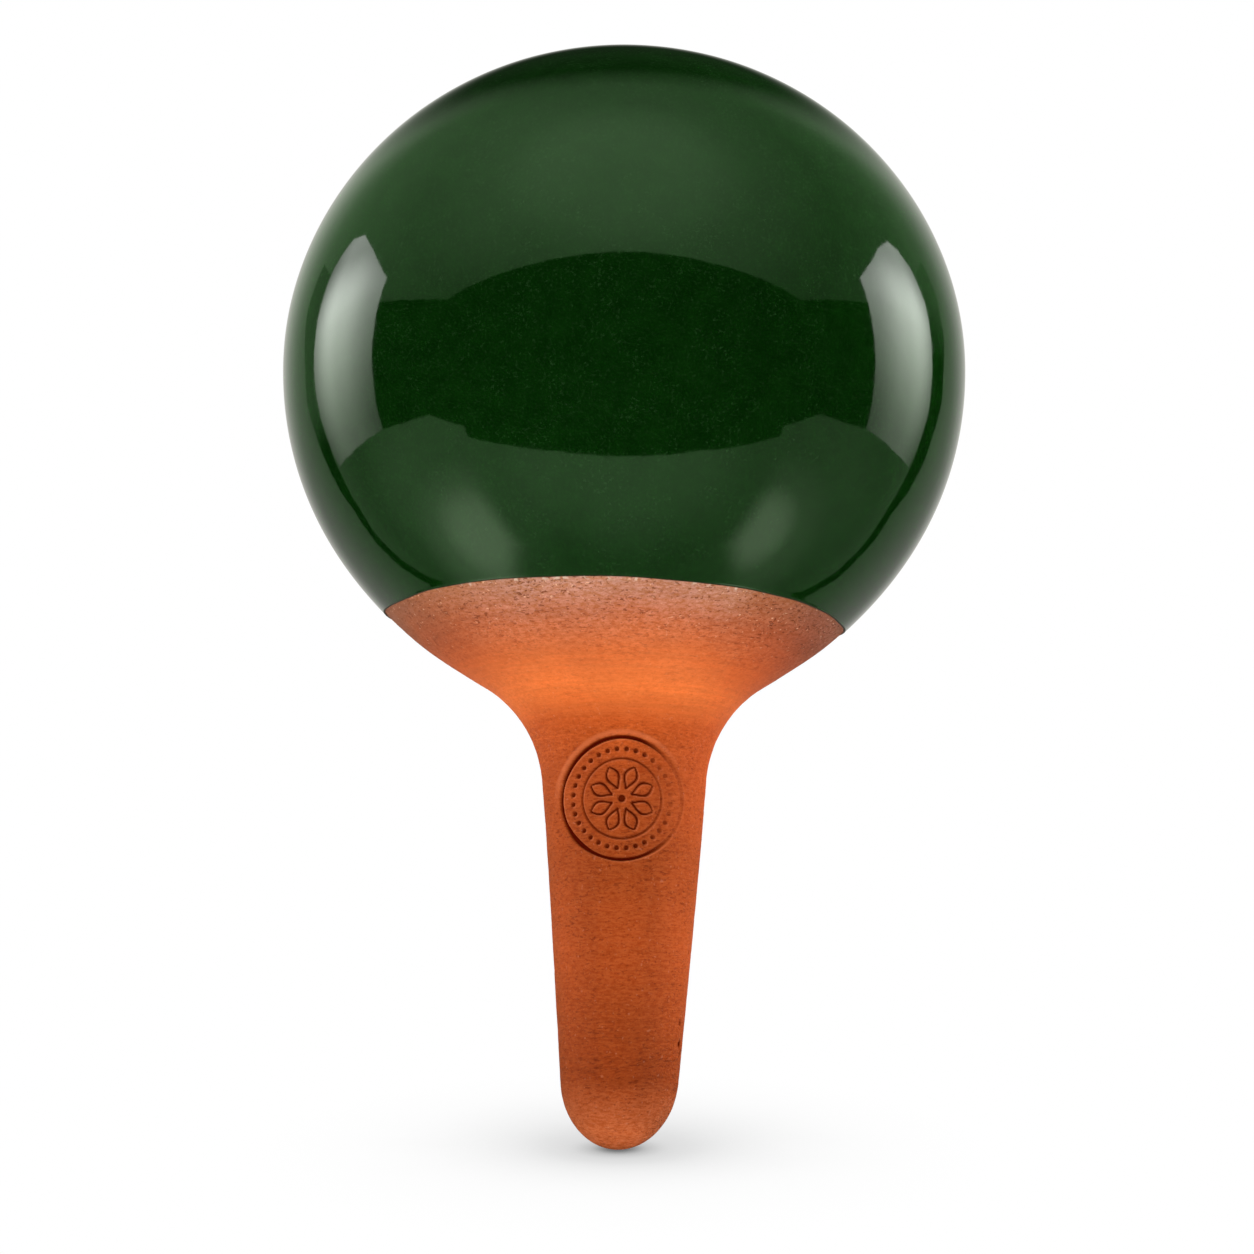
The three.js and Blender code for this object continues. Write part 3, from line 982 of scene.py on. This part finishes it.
# Corners of a softbox beside the bulb, along it and up, as shares of its distance from the axis
BOX_DISTANCE = 0.5
BOX_LEFT = (
    (-0.135, 0.405),
    (0.098, 0.57),
    (0.278, 0.66),
    (0.40, 0.65),
    (0.47, 0.56),
    (0.50, 0.50),
    (0.525, 0.34),
    (0.545, 0.10),
    (0.49, -0.22),
    (-0.05, -0.25),
)
BOX_RIGHT = (
    (-0.15, 0.405),
    (0.125, 0.575),
    (0.287, 0.626),
    (0.36, 0.593),
    (0.434, 0.512),
    (0.49, 0.39),
    (0.51, 0.20),
    (0.52, 0.0),
    (0.50, -0.22),
    (-0.05, -0.25),
)
BOX_HIGH, BOX_LOW = 0.55, -0.25
BOX_TINT = (0.94, 1.0, 0.93, 1)
BOX_LOW_TINT = (0.88, 1.04, 0.82, 1)
BOX_HIGH_STRENGTH = 8.4
BOX_LOW_STRENGTH = 1.25
BOX_FADE, BOX_TOP = 0.31, 0.60
BOX_TOP_SHARE = 0.33
BOX_SLANT, BOX_SLANT_FROM = 0.18, 0.11
BOX_NEAR, BOX_NEAR_FULL = -0.12, 0.18
BOX_FAR_FULL, BOX_FAR = 0.28, 0.57
BOX_NEAR_SHARE = 0.5
BOX_FAR_SHARE = 0.25

# Edge of the dark frame far behind a softbox, in the same shares, with half its width at each point. It
# turns paler between two heights.
FRAME_DISTANCE = 6.0
FRAME_LEFT = (
    (0.76, 0.58, 0.14),
    (0.81, 0.45, 0.15),
    (0.78, 0.35, 0.13),
    (0.77, 0.24, 0.10),
    (0.79, 0.13, 0.09),
    (0.74, 0.02, 0.08),
    (0.71, -0.10, 0.085),
    (0.70, -0.23, 0.075),
    (0.70, -0.36, 0.05),
    (0.755, -0.52, 0.05),
    (0.745, -0.68, 0.05),
    (0.68, -0.89, 0.045),
    (0.58, -1.08, 0.04),
    (0.5, -1.2, 0.04),
)
FRAME_RIGHT = (
    (0.72, 0.58, 0.13),
    (0.78, 0.45, 0.15),
    (0.78, 0.35, 0.14),
    (0.75, 0.24, 0.13),
    (0.765, 0.13, 0.12),
    (0.735, 0.02, 0.10),
    (0.725, -0.10, 0.10),
    (0.715, -0.23, 0.08),
    (0.69, -0.37, 0.055),
    (0.76, -0.55, 0.05),
    (0.79, -0.75, 0.05),
    (0.73, -1.03, 0.05),
    (0.64, -1.2, 0.05),
)
PALE_LEFT, PALE_RIGHT = (-0.1, 0.1), (0.2, 0.5)
PALE_STRENGTH = 0.25

# The card in front of the bulb across and up, and its wings back and up, as shares of its distance
CARD_DISTANCE = 0.8
CARD_HALF_WIDTH = 1.6
CARD_FRONT = (
    (-1.6, -0.935),
    (-0.5, -0.855),
    (0.5, -0.855),
    (1.6, -0.935),
    (1.6, 0.45),
    (0, 0.487),
    (-1.6, 0.45),
)
CARD_WING = ((-1, -0.80), (-0.6, -0.50), (0, -0.385), (0, 0.465), (-1, 0.45))

# Soft lights that the glaze shows: azimuth from the camera and elevation in degrees, the angles within
# which a light is whole and ends, and its strength. Those in front have the tint of the glaze's depth.
GLOSS_TINT = (0.54, 1.0, 0.48)
NEAR_LIGHTS = (
    (0, 0, 120, 170, 0.32),
    (-142, 24, 4, 26, 0.12),
    (0, 59, 2, 36, 0.50),
    (0, 50, 3, 62, 0.60),
    (-80, 45, 5, 45, 0.28),
    (0, -36, 8, 44, 0.70),
    (-72, -34, 8, 40, 0.50),
    (72, -34, 8, 40, 0.26),
)
REAR_TINT = (1.0, 1.0, 0.93)
REAR_LIGHTS = (
    (180, 0, 20, 70, 0.17),
    (180, 28, 12, 44, 0.32),
    (180, -4, 14, 58, 0.18),
)

# Two pale glows low on the glaze, by their side: each is a narrow light in a wide one, cut off along two
# edges on its inner side
GLOW_TINT = (0.75, 1.0, 0.66)
GLOWS = (
    (-1, ((-82, -50, 0, 15.5, 0.82), (-80, -57, 0, 30, 0.72))),
    (1, ((76, -51, 0, 14.5, 1.15), (76, -53, 0, 27, 0.38))),
)
GLOW_EDGES = ((0.53, -0.83, -0.17), (0.86, -0.16, -0.49))
GLOW_INSIDE, GLOW_OUTSIDE = -0.07, 0.09

# A dark patch among the lights behind, which the crown shows
CROWN_SHADE = (180, 48, 13, 28, 0.975)


def soft_light(tree, direction, azimuth, elevation, whole, end, strength):
    """Light from round about a direction, which fades between two angles from it."""
    turn, rise = math.radians(azimuth), math.radians(elevation)
    flat = Vector((math.sin(turn), -math.cos(turn), 0)) * math.cos(rise)
    inputs = {0: direction, 1: flat + Vector((0, 0, math.sin(rise)))}
    nearness = add(tree, "ShaderNodeVectorMath", inputs, operation="DOT_PRODUCT").outputs["Value"]
    return span(tree, nearness, math.cos(math.radians(end)), math.cos(math.radians(whole)), 0.0, strength)


def low_glow(tree, direction, side, lights):
    """Lights that are seen only on the far side of the glow's edges."""
    level, beyond = 0.0, -1.0
    for light in lights:
        level = calc(tree, "ADD", level, soft_light(tree, direction, *light))
    for x, y, z in GLOW_EDGES:
        inputs = {0: direction, 1: (-side * x, y, z)}
        across = add(tree, "ShaderNodeVectorMath", inputs, operation="DOT_PRODUCT").outputs["Value"]
        beyond = calc(tree, "MAXIMUM", beyond, across)
    return calc(tree, "MULTIPLY", level, span(tree, beyond, GLOW_INSIDE, GLOW_OUTSIDE, 1.0, 0.0))


def summed(tree, *colours):
    total = colours[0]
    for colour in colours[1:]:
        total = add(tree, "ShaderNodeVectorMath", {0: total, 1: colour}, operation="ADD").outputs[0]
    return total


def tinted(tree, tint, strength):
    inputs = {"Vector": tint, "Scale": strength}
    return add(tree, "ShaderNodeVectorMath", inputs, operation="SCALE").outputs[0]


def studio_world():
    """White to the camera, an even soft light on the object, and soft lights in its gloss."""
    world = bpy.data.worlds.new("studio")
    bpy.context.scene.world = world
    world.use_nodes = True
    tree = world.node_tree
    tree.nodes.clear()
    direction = add(tree, "ShaderNodeTexCoord").outputs["Generated"]
    near, rear, glow = 0.0, 0.0, 0.0
    for light in NEAR_LIGHTS:
        near = calc(tree, "ADD", near, soft_light(tree, direction, *light))
    for light in REAR_LIGHTS:
        rear = calc(tree, "ADD", rear, soft_light(tree, direction, *light))
    for side, lights in GLOWS:
        glow = calc(tree, "ADD", glow, low_glow(tree, direction, side, lights))
    gloss = summed(
        tree,
        tinted(tree, GLOSS_TINT, near),
        tinted(tree, REAR_TINT, rear),
        tinted(tree, GLOW_TINT, glow),
    )
    gloss = tinted(tree, gloss, calc(tree, "SUBTRACT", 1.0, soft_light(tree, direction, *CROWN_SHADE)))
    path = add(tree, "ShaderNodeLightPath").outputs
    colour = blend(tree, path["Is Glossy Ray"], (SOFT_LEVEL, SOFT_LEVEL, SOFT_LEVEL, 1), gloss)
    seen = calc(tree, "MAXIMUM", path["Is Camera Ray"], path["Is Transmission Ray"])
    colour = blend(tree, seen, colour, (1, 1, 1, 1))
    ground = add(tree, "ShaderNodeBackground", {"Color": colour, "Strength": 1.0})
    add(tree, "ShaderNodeOutputWorld", {"Surface": ground.outputs[0]})


def panel(name, corners, faces, material):
    """Flat panels of the studio, placed about the bulb, which the camera doesn't see."""
    mesh = bpy.data.meshes.new(name)
    mesh.from_pydata([BULB_CENTRE + Vector(c) for c in corners], [], faces)
    mesh.materials.append(material)
    made = bpy.data.objects.new(name, mesh)
    bpy.context.scene.collection.objects.link(made)
    made.visible_camera = False
    made.visible_shadow = False
    made.visible_transmission = False
    return made


def black_card():
    material, tree = new_material("black_card")
    shader = add(tree, "ShaderNodeEmission", {"Color": (0, 0, 0, 1), "Strength": 0.0})
    add(tree, "ShaderNodeOutputMaterial", {"Surface": shader.outputs[0]})
    return material


def front_card(material):
    """A black card with two wings, which only reflections show."""
    corners = [(across, -1, up) for across, up in CARD_FRONT]
    faces = [range(len(corners))]
    for side in (-CARD_HALF_WIDTH, CARD_HALF_WIDTH):
        faces.append(range(len(corners), len(corners) + len(CARD_WING)))
        corners += [(side, back, up) for back, up in CARD_WING]
    card = panel("front_card", [Vector(c) * CARD_DISTANCE for c in corners], faces, material)
    card.visible_diffuse = False


def box_frame(name, side, edge, pale):
    """The dark edge of a softbox's frame, which only reflections show."""
    material, tree = new_material(name)
    place = add(tree, "ShaderNodeTexCoord").outputs["Object"]
    height = add(tree, "ShaderNodeSeparateXYZ", {"Vector": place}).outputs["Z"]
    low, high = [EQUATOR_HEIGHT + share * FRAME_DISTANCE for share in pale]
    strength = span(tree, height, low, high, 0.0, PALE_STRENGTH)
    shader = add(tree, "ShaderNodeEmission", {"Color": (*GLOSS_TINT, 1), "Strength": strength})
    add(tree, "ShaderNodeOutputMaterial", {"Surface": shader.outputs[0]})
    path = [Vector(p[:2]) for p in edge]
    halves = [p[2] for p in edge]
    corners, faces = [], []
    for before, point, after, half in zip(path[:1] + path, path, path[1:] + path[-1:], halves):
        across = (after - before).normalized().orthogonal() * half
        corners += [(side, *(point - across)), (side, *(point + across))]
    for i in range(0, len(corners) - 2, 2):
        faces.append((i, i + 1, i + 3, i + 2))
    frame_edge = panel(name, [Vector(c) * FRAME_DISTANCE for c in corners], faces, material)
    frame_edge.visible_diffuse = False


def softbox(name, side, outline):
    """A tall softbox beside the bulb and a little behind it, brighter at its top and in its middle."""
    material, tree = new_material(name)
    place = add(tree, "ShaderNodeTexCoord").outputs["Object"]
    parts = add(tree, "ShaderNodeSeparateXYZ", {"Vector": place}).outputs
    along = calc(tree, "DIVIDE", parts["Y"], BOX_DISTANCE)
    low = EQUATOR_HEIGHT + BOX_LOW * BOX_DISTANCE
    high = EQUATOR_HEIGHT + BOX_HIGH * BOX_DISTANCE
    strength = span(tree, parts["Z"], low, high, BOX_LOW_STRENGTH, BOX_HIGH_STRENGTH)
    up = calc(tree, "DIVIDE", calc(tree, "SUBTRACT", parts["Z"], EQUATOR_HEIGHT), BOX_DISTANCE)
    slanted = calc(tree, "MULTIPLY_ADD", calc(tree, "SUBTRACT", along, BOX_SLANT_FROM), BOX_SLANT, up)
    fading = span(tree, slanted, BOX_FADE, BOX_TOP, 1.0, BOX_TOP_SHARE)
    strength = calc(tree, "MULTIPLY", strength, fading)
    near = span(tree, along, BOX_NEAR, BOX_NEAR_FULL, BOX_NEAR_SHARE, 1.0)
    far = span(tree, along, BOX_FAR_FULL, BOX_FAR, 1.0, BOX_FAR_SHARE)
    strength = calc(tree, "MULTIPLY", strength, calc(tree, "MULTIPLY", near, far))
    tint = blend(tree, span(tree, parts["Z"], low, high), BOX_LOW_TINT, BOX_TINT)
    shader = add(tree, "ShaderNodeEmission", {"Color": tint, "Strength": strength})
    add(tree, "ShaderNodeOutputMaterial", {"Surface": shader.outputs[0]})
    corners = [Vector((side, along, up)) * BOX_DISTANCE for along, up in outline]
    box = panel(name, corners, [range(len(corners))], material)
    box.visible_diffuse = False


def floor():
    """A pale floor that the low lamp shines through, white to the camera but for the object's shadow."""
    material, tree = new_material("pale_floor")
    path = add(tree, "ShaderNodeLightPath").outputs
    opened = add(tree, "ShaderNodeAmbientOcclusion", {"Distance": SHADOW_REACH}, samples=SHADOW_SAMPLES)
    stops = [(open_share, (tone, tone, tone)) for open_share, tone in SHADOW_TONES]
    shade = ramp(tree, opened.outputs["AO"], stops)
    lit = add(tree, "ShaderNodeBsdfDiffuse", {"Color": (FLOOR_TONE, FLOOR_TONE, FLOOR_TONE, 1)})
    shine = add(tree, "ShaderNodeEmission", {"Color": shade, "Strength": 1.0})
    inputs = {0: path["Is Camera Ray"], 1: lit.outputs[0], 2: shine.outputs[0]}
    both = add(tree, "ShaderNodeMixShader", inputs)
    clear = add(tree, "ShaderNodeBsdfTransparent")
    under = add(tree, "ShaderNodeNewGeometry").outputs["Backfacing"]
    sides = add(tree, "ShaderNodeMixShader", {0: under, 1: both.outputs[0], 2: clear.outputs[0]})
    add(tree, "ShaderNodeOutputMaterial", {"Surface": sides.outputs[0]})
    half = FLOOR_SIZE / 2
    mesh = bpy.data.meshes.new("floor")
    corners = [(-half, -half), (half, -half), (half, half), (-half, half)]
    rise = math.tan(FLOOR_SLOPE)
    height = TIP_HEIGHT - FLOOR_BELOW
    mesh.from_pydata([(x, y, height + y * rise) for x, y in corners], [], [range(4)])
    mesh.materials.append(material)
    made = bpy.data.objects.new("floor", mesh)
    bpy.context.scene.collection.objects.link(made)
    made.visible_glossy = False
    made.visible_shadow = False


def area_lamp(name, place, target, size, power):
    lamp = bpy.data.lights.new(name, "AREA")
    lamp.shape = "DISK"
    lamp.size = size
    lamp.energy = power
    made = bpy.data.objects.new(name, lamp)
    made.location = place
    made.rotation_mode = "QUATERNION"
    made.rotation_quaternion = (Vector(target) - Vector(place)).to_track_quat("-Z", "Y")
    made.visible_camera = False
    made.visible_glossy = False
    bpy.context.scene.collection.objects.link(made)


def camera():
    data = bpy.data.cameras.new("camera")
    data.lens = CAMERA_LENS
    data.sensor_width = SENSOR_WIDTH
    data.clip_start = CAMERA_NEAR
    made = bpy.data.objects.new("camera", data)
    back = Vector((0, -math.cos(CAMERA_ELEVATION), math.sin(CAMERA_ELEVATION)))
    made.location = CAMERA_AIM + back * CAMERA_DISTANCE
    made.rotation_mode = "QUATERNION"
    made.rotation_quaternion = (-back).to_track_quat("-Z", "Y")
    bpy.context.scene.collection.objects.link(made)
    bpy.context.scene.camera = made


studio_world()
floor()
front_card(black_card())
softbox("left_softbox", -1, BOX_LEFT)
softbox("right_softbox", 1, BOX_RIGHT)
box_frame("left_frame", -1, FRAME_LEFT, PALE_LEFT)
box_frame("right_frame", 1, FRAME_RIGHT, PALE_RIGHT)
area_lamp("top_lamp", TOP_LAMP_PLACE, BULB_CENTRE, TOP_LAMP_SIZE, TOP_LAMP_POWER)
area_lamp("low_lamp", LOW_LAMP_PLACE, SHOULDER, LOW_LAMP_SIZE, LOW_LAMP_POWER)
area_lamp("right_lamp", RIGHT_LAMP_PLACE, SPIKE_MIDDLE, SIDE_LAMP_SIZE, RIGHT_LAMP_POWER)
area_lamp("left_lamp", LEFT_LAMP_PLACE, SPIKE_MIDDLE, SIDE_LAMP_SIZE, LEFT_LAMP_POWER)
camera()
bpy.context.scene.view_settings.view_transform = "Standard"
